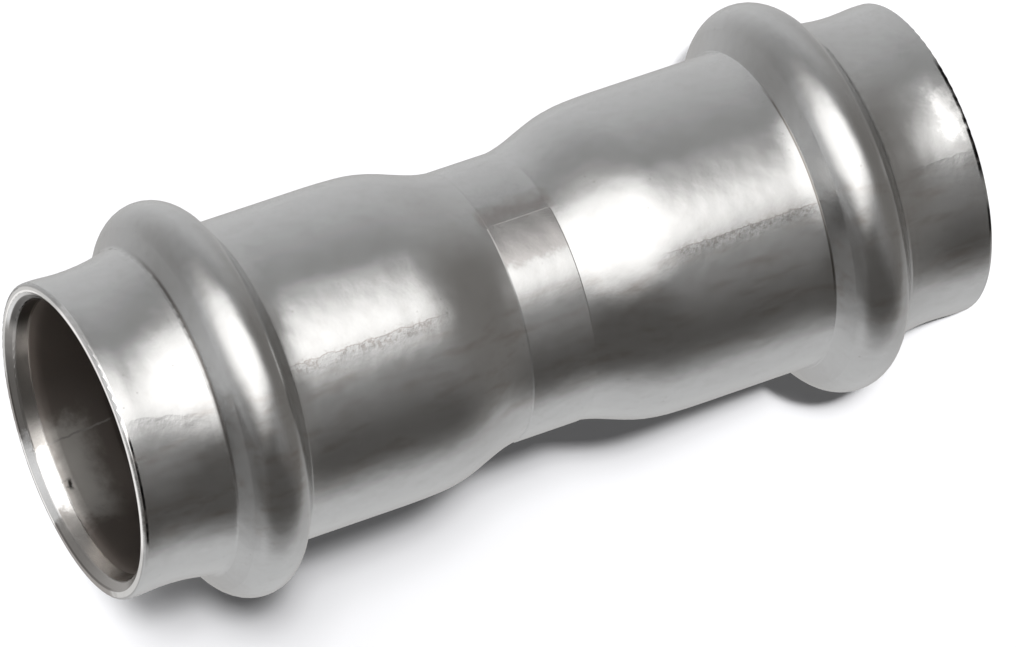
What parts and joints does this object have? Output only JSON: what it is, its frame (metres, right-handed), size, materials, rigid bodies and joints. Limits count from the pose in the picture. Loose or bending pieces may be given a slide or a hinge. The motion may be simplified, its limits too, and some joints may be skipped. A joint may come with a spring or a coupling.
{
  "type": "press fit pipe coupling",
  "caption": "Straight press fit coupling: a formed steel tube with a seal bead near each mouth and a narrowed neck that stops both pipes.",
  "frame": {"origin": "centre of the lower rim, which the coupling stands on", "axes": "+Z along the pipe axis, from the lower mouth to the upper one; the neck's die mark steps face -Y and +X"},
  "size_m": [0.0224, 0.0224, 0.0519],
  "materials": {
    "steel": "pickled, satin",
    "rubber": "smooth moulded"
  },
  "bodies": {
    "root": {"coupling_body": "steel", "seal_ring_lower": "rubber", "seal_ring_upper": "rubber"}
  },
  "joints": []
}
